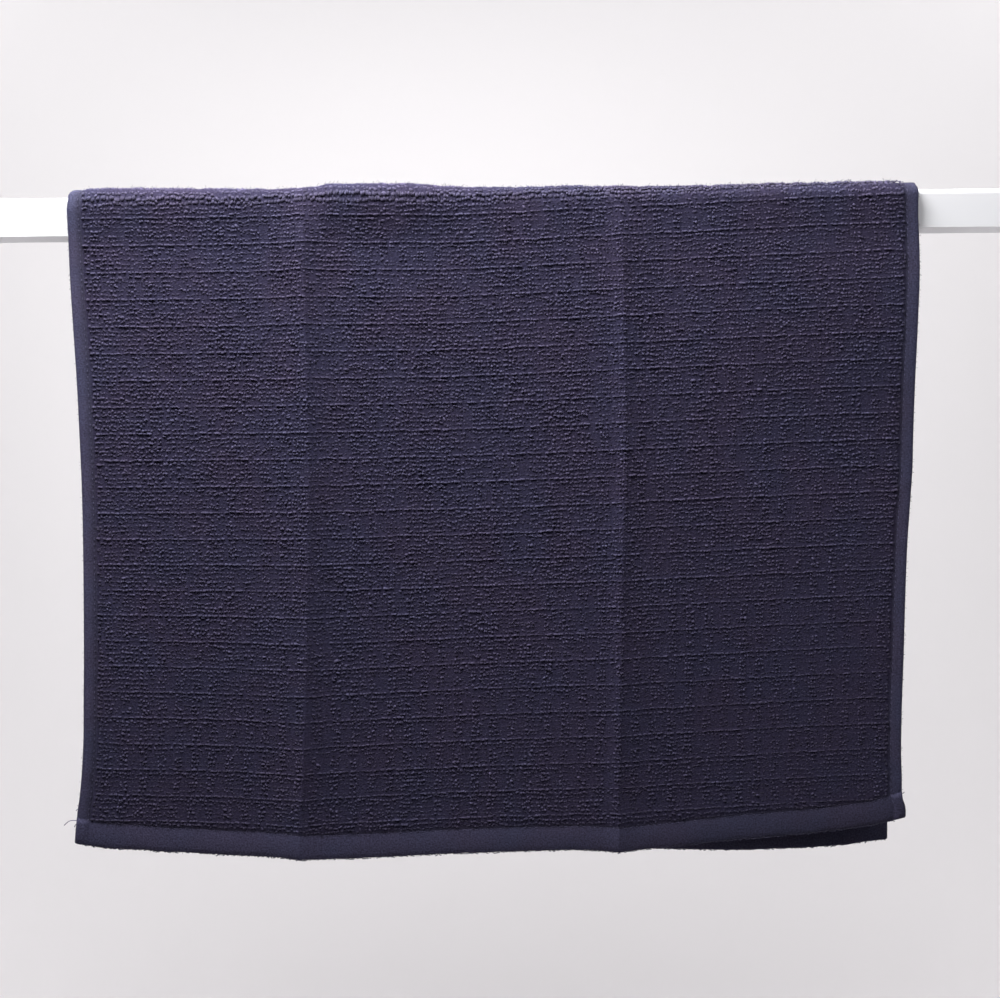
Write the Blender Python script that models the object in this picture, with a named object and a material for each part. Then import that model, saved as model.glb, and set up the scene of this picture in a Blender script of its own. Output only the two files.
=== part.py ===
"""Hand towel hung over a plain flat rail.

The towel is one rectangle of ribbed terry cloth with turned and stitched hems on its four
sides.  It lies over the top of the rail and hangs down in front and behind.  The rail is a
flat bar with a softly rounded top, cut square at both ends.

Frame: X runs along the rail from its left end, -Y faces the viewer, +Z is up.  The origin is
the middle of the rail's left end face.  Sizes below are in millimetres.
"""

from collections import namedtuple
from math import cos, pi, sin

import bmesh
import bpy
import numpy as np

MM = 0.001

RAIL_LENGTH = 600.0
RAIL_DEPTH = 18.0
RAIL_HEIGHT = 20.5
RAIL_TOP_RADIUS = 3.0
RAIL_TOP_SEGMENTS = 5

TOWEL_WIDTH = 450.0
TOWEL_START = 73.5  # left selvedge, measured along the rail from its left end
PILE_THICKNESS = 2.8
HEM_THICKNESS = 2.0
SIDE_HEM = 6.8
END_HEM = 14.0
HEM_STEP = 0.8  # distance in which the flat hem rises to the height of the pile

RIB_PITCH = 14.2
RIB_HEIGHT = 0.6
RIB_HALF_WIDTH = 1.5
RIB_CLEAR_OF_HEM = 1.0
FIRST_RIB = 23.7  # first rib in front, measured along the cloth from the middle of the rail

SEAT_GAP = 0.3  # cloth above the top of the rail
SIDE_GAP = 2.0  # cloth clear of the rail's long edges
BEND_RADIUS = 5.0  # inner face of the cloth where it turns down

MOST_BETWEEN_COLUMNS = 40.0
BENT_CLOTH = 30.0  # the cloth is modelled in closer rows this far to either side of the rail
ROWS_BETWEEN_BENT_RIBS = 3

# How the cloth lies over the rail.  lift is how far it stands off its seat; rise is how far
# each weft row has been pulled up over the rail, because the towel hangs a little askew.
OverRail = namedtuple("OverRail", "across lift rise")
OVER_RAIL = [
    OverRail(0, 0.3, 0.0),
    OverRail(15, 1.0, 0.0),
    OverRail(60, 0.8, 0.1),
    OverRail(100, 0.0, 0.3),
    OverRail(123, 0.4, 1.0),
    OverRail(143, 2.7, 0.6),
    OverRail(170, 2.2, 0.4),
    OverRail(196, 0.4, 0.1),
    OverRail(230, 0.7, 1.0),
    OverRail(265, 0.1, 2.4),
    OverRail(300, 0.0, 3.6),
    OverRail(335, 0.6, 4.9),
    OverRail(400, 0.7, 7.2),
    OverRail(435, 1.1, 8.2),
    OverRail(450, 0.8, 8.6),
]

# How the front panel hangs.  swing is how far it stands out towards the viewer, half way down
# and low on it; rise is again the pull on its weft rows.
Hang = namedtuple("Hang", "across swing_middle swing_low rise_middle rise_low")
HANG = [
    Hang(0, 1.5, 3.0, 0.2, 4.2),
    Hang(22, 1.0, 2.0, -0.2, 3.0),
    Hang(60, 0.3, 0.5, -0.3, 1.6),
    Hang(123, 1.0, 2.0, -0.2, -0.4),
    Hang(165, -0.8, -1.0, 0.2, 0.2),
    Hang(225, 0.2, 0.5, 1.2, 2.6),
    Hang(291, 1.0, 1.6, 3.2, 4.2),
    Hang(350, -1.6, -2.0, 5.2, 5.6),
    Hang(400, -3.6, -4.0, 6.6, 7.2),
    Hang(450, -5.5, -5.5, 7.8, 8.3),
]
BACK_SWING = -0.4  # the back panel leans the same way in the room, by this share of it
DEPTH_MIDDLE = 160.0
DEPTH_LOW = 290.0
STILL_DEPTH = 30.0  # the panels start to swing this far below the top of the rail

# Where the hems end, measured down from the top of the rail.
Hem = namedtuple("Hem", "across front back")
HEMS = [
    Hem(0, 348.9, 354.0),
    Hem(14, 351.5, 354.5),
    Hem(60, 354.1, 355.5),
    Hem(100, 356.8, 356.5),
    Hem(123, 358.2, 357.5),
    Hem(150, 358.6, 358.0),
    Hem(200, 356.8, 359.0),
    Hem(255, 355.4, 361.0),
    Hem(291, 356.0, 363.0),
    Hem(326, 354.2, 364.6),
    Hem(375, 351.2, 365.6),
    Hem(420, 346.4, 363.6),
    Hem(440, 343.8, 361.6),
    Hem(450, 341.0, 361.0),
]

# How far each selvedge is drawn in from its place at the rail, on the way down.
Selvedge = namedtuple("Selvedge", "depth left_in right_in")
SELVEDGES = [
    Selvedge(0, 0.0, 0.0),
    Selvedge(40, 0.2, 0.6),
    Selvedge(100, 1.8, 1.2),
    Selvedge(165, 2.3, 2.8),
    Selvedge(235, 1.2, 4.4),
    Selvedge(285, -0.6, 5.0),
    Selvedge(310, -2.6, 4.3),
    Selvedge(330, -5.4, 2.2),
    Selvedge(365, -6.8, 1.0),
]
BACK_RIGHT_IN = 2.6  # the back panel's right selvedge is drawn in by this much more

# The lines along which the towel had been folded for storing.  They stand out as soft
# ridges down both panels, with a wide flank on one side and a short one on the other.
Crease = namedtuple("Crease", "at_top at_hem height left_flank right_flank")
CREASES = [
    Crease(125, 121.5, 2.6, 24, 17),
    Crease(292.5, 292.5, 1.3, 8, 20),
]
CREASE_OVER_RAIL = 0.25  # share of a ridge that is left where the cloth bends over the rail
MID_FLANK = 0.45  # where a ridge's flank is steepest, as a share of its width

CLOTH_NAVY = (0.028, 0.024, 0.052, 1.0)
RAIL_WHITE = (0.83, 0.83, 0.84, 1.0)

BEND_CENTRE = RAIL_DEPTH / 2 + SIDE_GAP - BEND_RADIUS
BEND_MIDDLE_RADIUS = BEND_RADIUS + PILE_THICKNESS / 2
BEND_LENGTH = BEND_MIDDLE_RADIUS * pi / 2
SPRING_DEPTH = BEND_RADIUS - SEAT_GAP  # depth below the rail's top where the bend ends
ALONG_LESS_DEPTH = BEND_CENTRE + BEND_LENGTH - SPRING_DEPTH
RAIL_TOP = RAIL_HEIGHT / 2


def clear_scene():
    for thing in list(bpy.data.objects):
        bpy.data.objects.remove(thing, do_unlink=True)


def paint(name, colour, roughness):
    material = bpy.data.materials.new(name)
    material.use_nodes = True
    shader = material.node_tree.nodes["Principled BSDF"]
    shader.inputs["Base Color"].default_value = colour
    shader.inputs["Roughness"].default_value = roughness
    shader.inputs["Metallic"].default_value = 0.0
    return material


def add_object(name, form, material):
    mesh = bpy.data.meshes.new(name)
    form.to_mesh(mesh)
    form.free()
    mesh.materials.append(material)
    mesh.shade_smooth()
    mesh.set_sharp_from_angle(angle=pi / 5)
    made = bpy.data.objects.new(name, mesh)
    bpy.context.scene.collection.objects.link(made)
    return made


def smooth_curve(places, values, at):
    """Value at one place of the smooth curve through a table's column."""
    slopes = np.gradient(np.array(values, float), np.array(places, float))
    at = min(max(at, places[0]), places[-1])
    i = min(int(np.searchsorted(places, at, side="right")) - 1, len(places) - 2)
    span = places[i + 1] - places[i]
    t = (at - places[i]) / span
    return (
        (1 + 2 * t) * (1 - t) ** 2 * values[i]
        + t * (1 - t) ** 2 * span * slopes[i]
        + t * t * (3 - 2 * t) * values[i + 1]
        + t * t * (t - 1) * span * slopes[i + 1]
    )


def column(table, name, at):
    return smooth_curve([row[0] for row in table], [getattr(row, name) for row in table], at)


def soft_step(low, high, at):
    t = min(max((at - low) / (high - low), 0.0), 1.0)
    return t * t * (3 - 2 * t)


def between_depths(over_rail, middle, low, depth):
    """Blends a value at the rail, half way down and low on a panel."""
    upper = soft_step(STILL_DEPTH, DEPTH_MIDDLE, depth)
    lower = soft_step(DEPTH_MIDDLE, DEPTH_LOW, depth)
    return over_rail + (middle - over_rail) * upper + (low - middle) * lower


def ridge(across, depth):
    """How far the storing creases push the cloth outwards."""
    out = 0.0
    for crease in CREASES:
        share = depth / DEPTH_LOW
        middle = crease.at_top + (crease.at_hem - crease.at_top) * min(share, 1.0)
        flank = crease.left_flank if across < middle else crease.right_flank
        t = abs(across - middle) / flank
        if t < 1:
            out += crease.height * (1 - t) ** 2 * (1 + t)
    strength = CREASE_OVER_RAIL + (1 - CREASE_OVER_RAIL) * soft_step(0, STILL_DEPTH, depth)
    return out * strength


def weft_rise(across, along):
    over_rail = column(OVER_RAIL, "rise", across)
    if along < 0:
        return over_rail
    middle = column(HANG, "rise_middle", across)
    low = column(HANG, "rise_low", across)
    return between_depths(over_rail, middle, low, along)


def stand_off(across, depth, in_front):
    """Distance of the cloth's inner face outwards from where a flat, plumb panel would hang."""
    lift = column(OVER_RAIL, "lift", across) * (1 - soft_step(0, STILL_DEPTH, depth))
    swing = between_depths(
        0.0,
        column(HANG, "swing_middle", across),
        column(HANG, "swing_low", across),
        depth,
    )
    return lift + (swing if in_front else swing * BACK_SWING) + ridge(across, depth)


def place(across, along, thickness):
    """Point of the cloth, from its distance across, along from the rail and its thickness.

    along is positive in front of the rail and negative behind it.
    """
    distance = abs(along)
    forward = -1 if along > 0 else 1
    depth = max(distance - ALONG_LESS_DEPTH, 0.0)
    out = stand_off(across, depth, along > 0) + thickness
    if distance < BEND_CENTRE:
        y = distance
        z = SEAT_GAP + out
    elif distance < BEND_CENTRE + BEND_LENGTH:
        angle = (distance - BEND_CENTRE) / BEND_MIDDLE_RADIUS
        y = BEND_CENTRE + (BEND_RADIUS + out) * sin(angle)
        z = (BEND_RADIUS + out) * cos(angle) - SPRING_DEPTH
    else:
        y = BEND_CENTRE + BEND_RADIUS + out
        z = -depth
    left = TOWEL_START + column(SELVEDGES, "left_in", depth)
    right = TOWEL_START + TOWEL_WIDTH - column(SELVEDGES, "right_in", depth)
    if along < 0:
        right -= BACK_RIGHT_IN * soft_step(0, DEPTH_MIDDLE, depth)
    x = left + (right - left) * across / TOWEL_WIDTH
    return (x * MM, forward * y * MM, (RAIL_TOP + z) * MM)


def column_places():
    """Distances across the cloth at which it is modelled, closer together at hems and creases."""
    fixed = [0.0, SIDE_HEM, SIDE_HEM + HEM_STEP]
    fixed += [TOWEL_WIDTH - at for at in reversed(fixed)]
    for crease in CREASES:
        middle = (crease.at_top + crease.at_hem) / 2
        fixed += [middle - crease.left_flank, middle - crease.left_flank * MID_FLANK]
        fixed += [middle, middle + crease.right_flank * MID_FLANK, middle + crease.right_flank]
    fixed.sort()
    places = [fixed[0]]
    for start, end in zip(fixed, fixed[1:]):
        parts = max(1, round((end - start) / MOST_BETWEEN_COLUMNS))
        places += [start + (end - start) * part / parts for part in range(1, parts + 1)]
    return places


def hem_end(across, side):
    """Distance along the cloth from the middle of the rail to the end of one panel."""
    return column(HEMS, side, across) + ALONG_LESS_DEPTH


def rib_lines():
    """Distances along the cloth of every rib that is clear of both end hems."""
    room = END_HEM + HEM_STEP + RIB_HALF_WIDTH + RIB_CLEAR_OF_HEM
    across = column_places()

    def is_clear(rib):
        side, forward = ("front", 1) if rib > 0 else ("back", -1)
        left_over = [
            hem_end(at, side) - forward * (rib - weft_rise(at, rib)) for at in across
        ]
        return min(left_over) > room

    front = int((hem_end(0, "front") - FIRST_RIB) / RIB_PITCH)
    back = int((hem_end(0, "back") + FIRST_RIB) / RIB_PITCH)
    ribs = [FIRST_RIB + RIB_PITCH * number for number in range(-back, front + 1)]
    return [rib for rib in ribs if is_clear(rib)]


def cloth_rows():
    """Rows of the cloth from the front hem to the back one, as (along, thickness, on_back).

    along gives a row's distance from the middle of the rail at one place across the cloth.
    on_back marks the rows that the plain inner face shares with the ribbed outer one.
    """

    def from_hem(side, inset):
        forward = 1 if side == "front" else -1
        return lambda across: forward * (hem_end(across, side) - inset)

    def on_weft(along):
        return lambda across: along - weft_rise(across, along)

    def end_hem(side):
        return [
            (from_hem(side, 0.0), HEM_THICKNESS, True),
            (from_hem(side, END_HEM), HEM_THICKNESS, True),
            (from_hem(side, END_HEM + HEM_STEP), PILE_THICKNESS, False),
        ]

    rows = end_hem("front")
    ribs = rib_lines()[::-1]
    for number, rib in enumerate(ribs):
        bent = abs(rib) < BENT_CLOTH + RIB_PITCH
        rows.append((on_weft(rib + RIB_HALF_WIDTH), PILE_THICKNESS, bent))
        rows.append((on_weft(rib), PILE_THICKNESS + RIB_HEIGHT, bent or number % 2 == 0))
        rows.append((on_weft(rib - RIB_HALF_WIDTH), PILE_THICKNESS, bent))
        if abs(rib - RIB_PITCH / 2) < BENT_CLOTH:
            step = (RIB_PITCH - 2 * RIB_HALF_WIDTH) / (ROWS_BETWEEN_BENT_RIBS + 1)
            for part in range(1, ROWS_BETWEEN_BENT_RIBS + 1):
                along = rib - RIB_HALF_WIDTH - step * part
                rows.append((on_weft(along), PILE_THICKNESS, True))
    rows += reversed(end_hem("back"))
    return rows


def build_towel(material):
    across = column_places()
    rows = cloth_rows()
    form = bmesh.new()

    def line(at_along, thickness):
        return [form.verts.new(place(at, at_along(at), thickness(at))) for at in across]

    def face_thickness(pile):
        def thickness(at):
            on_side_hem = at <= SIDE_HEM or at >= TOWEL_WIDTH - SIDE_HEM
            return HEM_THICKNESS if on_side_hem else pile

        return thickness

    outer = [line(along, face_thickness(pile)) for along, pile, _ in rows]
    shared = [number for number, row in enumerate(rows) if row[2]]
    inner = {number: line(rows[number][0], lambda at: 0.0) for number in shared}

    for lower, upper in zip(outer, outer[1:]):
        for i in range(len(across) - 1):
            form.faces.new((lower[i], lower[i + 1], upper[i + 1], upper[i]))
    for low, high in zip(shared, shared[1:]):
        lower, upper = inner[low], inner[high]
        for i in range(len(across) - 1):
            form.faces.new((lower[i + 1], lower[i], upper[i], upper[i + 1]))
        for i in (0, -1):
            side = [outer[number][i] for number in range(low, high + 1)]
            rim = [lower[i], *side, upper[i]]
            form.faces.new(rim if i else rim[::-1])
    for number in (shared[0], shared[-1]):
        for i in range(len(across) - 1):
            rim = (inner[number][i], inner[number][i + 1], outer[number][i + 1], outer[number][i])
            form.faces.new(rim if number == shared[0] else rim[::-1])
    bmesh.ops.triangulate(form, faces=form.faces[:])
    bmesh.ops.recalc_face_normals(form, faces=form.faces[:])
    return add_object("towel", form, material)


def build_rail(material):
    form = bmesh.new()
    bmesh.ops.create_cube(form, size=1.0)
    bmesh.ops.scale(form, vec=(RAIL_LENGTH * MM, RAIL_DEPTH * MM, RAIL_HEIGHT * MM), verts=form.verts)
    bmesh.ops.translate(form, vec=(RAIL_LENGTH / 2 * MM, 0, 0), verts=form.verts)
    top_edges = [
        edge
        for edge in form.edges
        if all(vert.co.z > 0 for vert in edge.verts)
        and abs(edge.verts[0].co.x - edge.verts[1].co.x) > RAIL_DEPTH * MM
    ]
    bmesh.ops.bevel(
        form,
        geom=top_edges,
        offset=RAIL_TOP_RADIUS * MM,
        segments=RAIL_TOP_SEGMENTS,
        profile=0.5,
        affect="EDGES",
    )
    return add_object("rail", form, material)


clear_scene()
build_rail(paint("painted metal", RAIL_WHITE, 0.35))
build_towel(paint("navy terry cotton", CLOTH_NAVY, 0.95))
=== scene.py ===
"""Looks of a navy terry hand towel that hangs folded over a plain white rail.

Frame: X runs along the rail from its left end, -Y towards the viewer, +Z up.  The origin is the
middle of the rail's left end face.  Sizes are in millimetres until a point is placed.
"""

from collections import namedtuple
from math import pi, radians

import bpy
import numpy as np
from mathutils import Matrix, Vector


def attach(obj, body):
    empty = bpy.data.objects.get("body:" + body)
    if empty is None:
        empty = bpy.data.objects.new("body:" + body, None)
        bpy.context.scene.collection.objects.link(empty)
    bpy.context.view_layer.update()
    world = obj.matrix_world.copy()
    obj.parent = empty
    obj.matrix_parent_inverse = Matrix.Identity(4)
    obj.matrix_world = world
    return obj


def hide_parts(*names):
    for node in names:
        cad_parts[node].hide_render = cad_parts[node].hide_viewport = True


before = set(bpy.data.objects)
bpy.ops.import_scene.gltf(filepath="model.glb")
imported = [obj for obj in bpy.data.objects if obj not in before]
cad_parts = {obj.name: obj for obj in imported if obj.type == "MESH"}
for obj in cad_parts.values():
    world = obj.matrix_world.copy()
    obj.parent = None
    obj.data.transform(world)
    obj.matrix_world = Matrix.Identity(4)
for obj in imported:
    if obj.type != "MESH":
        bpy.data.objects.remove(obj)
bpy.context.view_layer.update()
MM = 0.001


# The rail: a flat bar of aluminium with a softly rounded top, sprayed and baked with white
# powder coat.  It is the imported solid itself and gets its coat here.
RAIL_LENGTH = 600.0
RAIL_DEPTH = 18.0
RAIL_HEIGHT = 20.5
RAIL_TOP = RAIL_HEIGHT / 2
COAT_WHITE = "#E4E4E7"
COAT_SHADE = "#DFDFE3"
ORANGE_PEEL = 1.6  # width of the ripples that the powder leaves as it melts


def linear(colour):
    """Linear RGBA of an sRGB hex colour."""
    parts = [int(colour[i : i + 2], 16) / 255 for i in (1, 3, 5)]
    return (*[c / 12.92 if c <= 0.04045 else ((c + 0.055) / 1.055) ** 2.4 for c in parts], 1.0)


def new_material(name):
    material = bpy.data.materials.new(name)
    material.use_nodes = True
    tree = material.node_tree
    return material, tree, tree.nodes["Principled BSDF"]


def add_node(tree, kind, settings=None, **links):
    """Adds a node with its settings; a link or plain value goes to the socket of that name."""
    node = tree.nodes.new(kind)
    for name, value in (settings or {}).items():
        setattr(node, name, value)
    for name, source in links.items():
        plug = node.inputs[int(name[1:])] if name[0] == "_" else node.inputs[name.replace("_", " ")]
        if isinstance(source, bpy.types.NodeSocket):
            tree.links.new(source, plug)
        else:
            plug.default_value = source
    return node


# Powder coat is a smooth satin film: a broad soft gloss over a white that is barely uneven.
powder_coat, tree, shader = new_material("satin powder coat, sprayed and baked")
shader.inputs["Roughness"].default_value = 0.38
shader.inputs["IOR"].default_value = 1.5
at = add_node(tree, "ShaderNodeTexCoord").outputs["Object"]
cloudy = add_node(tree, "ShaderNodeTexNoise", Vector=at, Scale=1 / (60 * MM), Detail=2.0)
white = add_node(
    tree,
    "ShaderNodeMix",
    {"data_type": "RGBA"},
    _0=cloudy.outputs["Fac"],
    _6=linear(COAT_SHADE),
    _7=linear(COAT_WHITE),
)
tree.links.new(white.outputs[2], shader.inputs["Base Color"])
peel = add_node(tree, "ShaderNodeTexNoise", Vector=at, Scale=1 / (ORANGE_PEEL * MM), Detail=1.0)
relief = add_node(
    tree, "ShaderNodeBump", Height=peel.outputs["Fac"], Strength=0.12, Distance=0.05 * MM
)
tree.links.new(relief.outputs["Normal"], shader.inputs["Normal"])
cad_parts["rail"].material_slots[0].material = powder_coat


# The towel's cloth: one rectangle of navy cotton, 450 by 740 mm, folded over the rail a little
# askew.  All four edges are turned under twice and stitched down as flat plain-woven hems, and
# two lines stand out from the way it had been folded for storing.
TOWEL_WIDTH = 450.0
TOWEL_START = 73.5
FLAT_LENGTH = 740.0
HEM_THICKNESS = 2.0
SIDE_HEM = 6.8
END_HEM = 14.0
HEM_STEP = 0.8
EDGE_ROUNDING = 1.0
CORNER_ROUNDING = 1.3
CORNER_FOLD = 0.8  # how much thicker the hem is where two folds meet at a corner
RIB_PITCH = 14.2
FIRST_RIB = 23.7
GROUND_THICKNESS = 2.25  # cloth at the foot of its loops
SEAT_GAP = 0.3
SIDE_GAP = 2.0
BEND_RADIUS = 5.0
MIDDLE_THICKNESS = 1.4
CORNER_PINCH = 1.5  # how far the hems' corners draw in where they bend over the rail
CORNER_REACH = 6.0
BEND_CENTRE = RAIL_DEPTH / 2 + SIDE_GAP - BEND_RADIUS
BEND_MIDDLE_RADIUS = BEND_RADIUS + MIDDLE_THICKNESS
BEND_LENGTH = BEND_MIDDLE_RADIUS * pi / 2
SPRING_DEPTH = BEND_RADIUS - SEAT_GAP
ALONG_LESS_DEPTH = BEND_CENTRE + BEND_LENGTH - SPRING_DEPTH

# How the cloth lies over the rail, at distances across it: lift off its seat, and rise of the
# weft rows, which are pulled up over the rail on the right.
OverRail = namedtuple("OverRail", "across lift rise")
OVER_RAIL = [
    OverRail(0, 1.3, 0.0),
    OverRail(15, 2.2, 0.0),
    OverRail(40, 2.1, 0.0),
    OverRail(60, 1.8, 0.1),
    OverRail(92, 1.3, 0.2),
    OverRail(112, 0.8, 0.7),
    OverRail(127, 0.8, 0.9),
    OverRail(137, 3.1, 0.7),
    OverRail(147, 3.4, 0.6),
    OverRail(165, 3.3, 0.4),
    OverRail(185, 3.0, 0.2),
    OverRail(200, 1.6, 0.1),
    OverRail(225, 0.8, 0.8),
    OverRail(245, 0.6, 1.6),
    OverRail(265, 1.0, 2.4),
    OverRail(288, 0.3, 3.2),
    OverRail(310, 0.3, 4.0),
    OverRail(340, 0.6, 5.1),
    OverRail(375, 1.4, 6.3),
    OverRail(400, 1.5, 7.2),
    OverRail(425, 1.9, 7.9),
    OverRail(440, 1.9, 8.3),
    OverRail(450, 1.8, 8.6),
]

# How the front panel hangs: swing towards the viewer and rise of the weft rows, half way down
# and low on the panel.
Hang = namedtuple("Hang", "across swing_middle swing_low rise_middle rise_low")
HANG = [
    Hang(0, 1.5, 3.0, 0.2, 4.2),
    Hang(22, 1.0, 2.0, -0.2, 3.0),
    Hang(60, 0.3, 0.5, -0.3, 1.6),
    Hang(123, 1.0, 2.0, -0.2, -0.4),
    Hang(165, -0.8, -1.0, 0.2, 0.2),
    Hang(225, 0.2, 0.5, 1.2, 2.6),
    Hang(291, 1.0, 1.6, 3.2, 4.2),
    Hang(350, -1.6, -2.0, 5.2, 5.6),
    Hang(400, -3.6, -4.0, 6.6, 7.2),
    Hang(450, -5.5, -5.5, 7.8, 8.3),
]
BACK_SWING = -0.4
DEPTH_MIDDLE = 160.0
DEPTH_LOW = 290.0
STILL_DEPTH = 30.0

# Where the hems end below the top of the rail.
Hem = namedtuple("Hem", "across front back")
HEMS = [
    Hem(0, 348.4, 354.0),
    Hem(14, 351.2, 354.5),
    Hem(35, 353.0, 355.0),
    Hem(47, 354.5, 355.3),
    Hem(60, 355.2, 355.6),
    Hem(80, 356.6, 356.2),
    Hem(100, 357.3, 356.6),
    Hem(123, 358.3, 357.5),
    Hem(132, 359.2, 357.8),
    Hem(150, 359.7, 358.2),
    Hem(176, 359.1, 358.6),
    Hem(200, 357.8, 359.2),
    Hem(230, 356.7, 360.2),
    Hem(255, 355.9, 361.2),
    Hem(272, 355.6, 362.0),
    Hem(291, 356.5, 363.2),
    Hem(306, 355.9, 364.2),
    Hem(326, 354.6, 365.6),
    Hem(345, 353.0, 366.4),
    Hem(360, 352.0, 366.9),
    Hem(375, 351.1, 366.8),
    Hem(393, 349.9, 366.5),
    Hem(415, 347.9, 365.7),
    Hem(428, 346.4, 364.8),
    Hem(440, 344.1, 363.0),
    Hem(450, 341.5, 362.2),
]

# How far each selvedge is drawn in on the way down.
Selvedge = namedtuple("Selvedge", "depth left_in right_in")
SELVEDGES = [
    Selvedge(0, -1.0, 0.7),
    Selvedge(10, -1.0, 0.9),
    Selvedge(20, -1.0, 0.2),
    Selvedge(30, -1.0, -0.5),
    Selvedge(40, -0.9, -0.9),
    Selvedge(70, 0.1, -0.8),
    Selvedge(100, 1.3, -0.4),
    Selvedge(130, 2.0, -0.3),
    Selvedge(150, 2.3, -0.3),
    Selvedge(165, 2.3, 0.5),
    Selvedge(190, 2.0, 1.9),
    Selvedge(220, 1.5, 2.7),
    Selvedge(250, 0.8, 3.2),
    Selvedge(270, 0.1, 3.7),
    Selvedge(290, -0.6, 4.0),
    Selvedge(310, -2.2, 3.9),
    Selvedge(318, -3.1, 3.5),
    Selvedge(325, -4.1, 3.4),
    Selvedge(331, -5.2, 3.1),
    Selvedge(335, -5.6, 1.7),
    Selvedge(341, -6.3, 1.2),
    Selvedge(347, -7.0, 1.1),
    Selvedge(365, -7.2, 1.0),
]
BACK_RIGHT_IN = 2.6

# The storing creases: soft ridges down both panels, each with a sharper crest.
Crease = namedtuple("Crease", "at_top at_hem height left_flank right_flank crest")
CREASES = [
    Crease(125, 121.5, 2.4, 24, 17, 1.7),
    Crease(292.5, 292.5, 1.2, 8, 20, 1.2),
]
CREST_LEFT = 5.5
CREST_RIGHT = 4.0
CREASE_OVER_RAIL = 0.25


def smooth_curve(places, values, at):
    """Values of the smooth curve through a table's column."""
    places, values = np.array(places, float), np.array(values, float)
    slopes = np.gradient(values, places)
    at = np.clip(at, places[0], places[-1])
    i = np.clip(np.searchsorted(places, at, side="right") - 1, 0, len(places) - 2)
    span = places[i + 1] - places[i]
    t = (at - places[i]) / span
    return (
        (1 + 2 * t) * (1 - t) ** 2 * values[i]
        + t * (1 - t) ** 2 * span * slopes[i]
        + t * t * (3 - 2 * t) * values[i + 1]
        + t * t * (t - 1) * span * slopes[i + 1]
    )


def column(table, name, at):
    return smooth_curve([row[0] for row in table], [getattr(row, name) for row in table], at)


def soft_step(low, high, at):
    t = np.clip((at - low) / (high - low), 0.0, 1.0)
    return t * t * (3 - 2 * t)


def wavering(at, seed, lengths, height):
    """A smooth uneven line: waves of a few lengths with drawn phases."""
    draw = np.random.default_rng(seed)
    total = 0.0
    for length in lengths:
        total = total + np.sin(2 * pi * (at / length + draw.random())) / len(lengths)
    return total * height


def between_depths(over_rail, middle, low, depth):
    upper = soft_step(STILL_DEPTH, DEPTH_MIDDLE, depth)
    lower = soft_step(DEPTH_MIDDLE, DEPTH_LOW, depth)
    return over_rail + (middle - over_rail) * upper + (low - middle) * lower


def ridge(across, depth):
    """How far the storing creases push the cloth outwards."""
    out = 0.0
    for crease in CREASES:
        middle = crease.at_top + (crease.at_hem - crease.at_top) * np.minimum(depth / DEPTH_LOW, 1.0)
        flank = np.where(across < middle, crease.left_flank, crease.right_flank)
        t = np.minimum(abs(across - middle) / flank, 1.0)
        out = out + crease.height * (1 - t) ** 2 * (1 + t)
        fade = np.where(across < middle, CREST_LEFT, CREST_RIGHT)
        out = out + crease.crest * np.exp(-abs(across - middle) / fade)
    return out * (CREASE_OVER_RAIL + (1 - CREASE_OVER_RAIL) * soft_step(0, STILL_DEPTH, depth))


def crease_side(across, depth):
    """Which side of a storing crease a point is on: 1 just left of its crest, -1 just right."""
    side = 0.0
    for crease in CREASES:
        middle = crease.at_top + (crease.at_hem - crease.at_top) * np.minimum(depth / DEPTH_LOW, 1.0)
        off = across - middle
        side = side - np.tanh(off / 0.8) * np.exp(-abs(off) / 7.0) * crease.height / CREASES[0].height
    return side


def ridge_distance(across, depth):
    """Distance to the nearest storing crease's crest."""
    offs = [
        across - crease.at_top - (crease.at_hem - crease.at_top) * np.minimum(depth / DEPTH_LOW, 1.0)
        for crease in CREASES
    ]
    return np.minimum(*[abs(off) for off in offs])


def weft_rise(across, along):
    """How far the weft rows are pulled towards the back, at a distance along the cloth."""
    over_rail = column(OVER_RAIL, "rise", across)
    middle = column(HANG, "rise_middle", across)
    low = column(HANG, "rise_low", across)
    return between_depths(over_rail, middle, low, np.maximum(along, 0.0))


def stand_off(across, along, depth):
    lift = column(OVER_RAIL, "lift", across) + wavering(across, 29, (9.0, 13.0, 21.0), 0.3)
    lift = np.maximum(lift, 0.0) * (1 - soft_step(0, STILL_DEPTH, depth))
    middle = column(HANG, "swing_middle", across)
    swing = between_depths(0.0, middle, column(HANG, "swing_low", across), depth)
    return lift + np.where(along > 0, swing, swing * BACK_SWING) + ridge(across, depth)


def place(across, along, thickness):
    """Points of the cloth in metres; along is positive in front of the rail, negative behind."""
    distance = abs(along)
    forward = np.where(along > 0, -1.0, 1.0)
    depth = np.maximum(distance - ALONG_LESS_DEPTH, 0.0)
    out = stand_off(across, along, depth) + thickness
    angle = np.clip((distance - BEND_CENTRE) / BEND_MIDDLE_RADIUS, 0.0, pi / 2)
    hanging = distance >= BEND_CENTRE + BEND_LENGTH
    y = np.minimum(distance, BEND_CENTRE) + (BEND_RADIUS + out) * np.sin(angle)
    z = np.where(hanging, -depth, (BEND_RADIUS + out) * np.cos(angle) - SPRING_DEPTH)
    left = TOWEL_START + column(SELVEDGES, "left_in", depth)
    right = TOWEL_START + TOWEL_WIDTH - column(SELVEDGES, "right_in", depth)
    right = right - np.where(along < 0, BACK_RIGHT_IN * soft_step(0, DEPTH_MIDDLE, depth), 0.0)
    x = left + (right - left) * across / TOWEL_WIDTH
    pinch = CORNER_PINCH * (1 - soft_step(0.0, BEND_LENGTH, distance - BEND_CENTRE))
    x = x + pinch * (np.exp(-across / CORNER_REACH) - np.exp((across - TOWEL_WIDTH) / CORNER_REACH))
    return np.stack([x * MM, forward * y * MM, (RAIL_TOP + z) * MM], axis=-1)


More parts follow.
